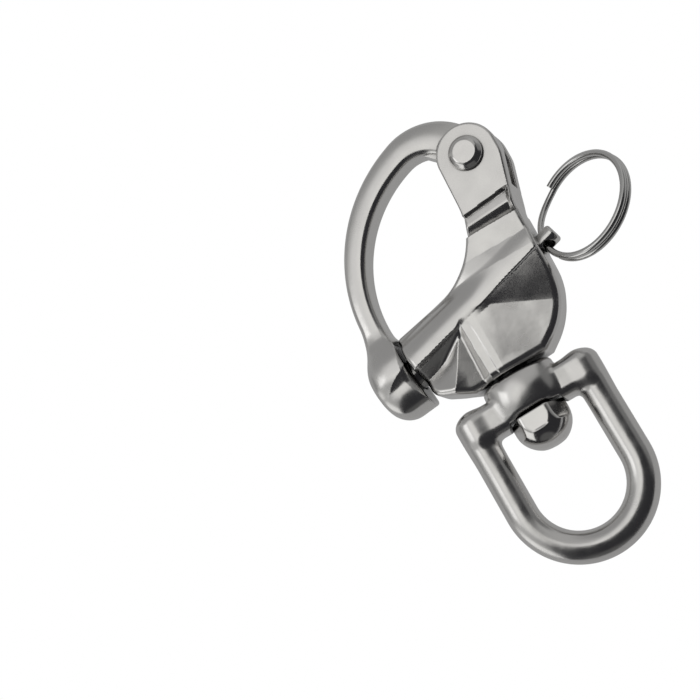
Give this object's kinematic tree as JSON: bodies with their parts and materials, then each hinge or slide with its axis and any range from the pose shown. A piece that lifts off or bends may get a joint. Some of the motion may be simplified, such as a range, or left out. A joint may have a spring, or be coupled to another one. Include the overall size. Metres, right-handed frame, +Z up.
{
  "type": "swivel snap hook",
  "caption": "Snap hook with a hinged jaw that a sprung plunger locks, a pull ring on the plunger, and an eye that swivels under the body.",
  "frame": {"origin": "where a line bears inside the swivel eye, on the swivel axis and at mid-thickness", "axes": "+Y along the swivel axis towards the jaw, +X towards the jaw's hinge side, +Z up from the face the hook lies on"},
  "size_m": [0.0598, 0.0869, 0.0154],
  "materials": {
    "cast_steel": "cast and polished stainless steel",
    "turned_steel": "turned and polished stainless steel",
    "spring_wire": "drawn stainless spring wire"
  },
  "bodies": {
    "body": {"body": "cast_steel", "pivot_rivet": "turned_steel", "swivel_bolt": "turned_steel", "plunger_spring": "spring_wire"},
    "jaw": {"jaw": "cast_steel"},
    "plunger": {"plunger": "turned_steel"},
    "swivel_eye": {"swivel_eye": "cast_steel"},
    "pull_ring": {"pull_ring": "spring_wire"}
  },
  "joints": [
    {"name": "jaw_hinge", "type": "hinge", "parent": "body", "child": "jaw", "pos_m": [0.0135, 0.0693, 0], "axis": [0, 0, -1], "range_deg": [0, 95]},
    {"name": "plunger_slide", "type": "slide", "parent": "body", "child": "plunger", "axis": [0.9703, 0.2419, 0], "range_m": [0, 0.0045], "stiffness_N_per_m": 900, "springref_m": -0.004, "deforming": ["plunger_spring"]},
    {"name": "eye_swivel", "type": "hinge", "parent": "body", "child": "swivel_eye", "pos_m": [0, 0.031, 0], "axis": [0, 1, 0], "continuous": true},
    {"name": "ring_swing", "type": "hinge", "parent": "plunger", "child": "pull_ring", "pos_m": [0.01686, 0.0486, 0], "axis": [-0.0072, 0.8883, -0.4592], "range_deg": [-50, 50]}
  ]
}
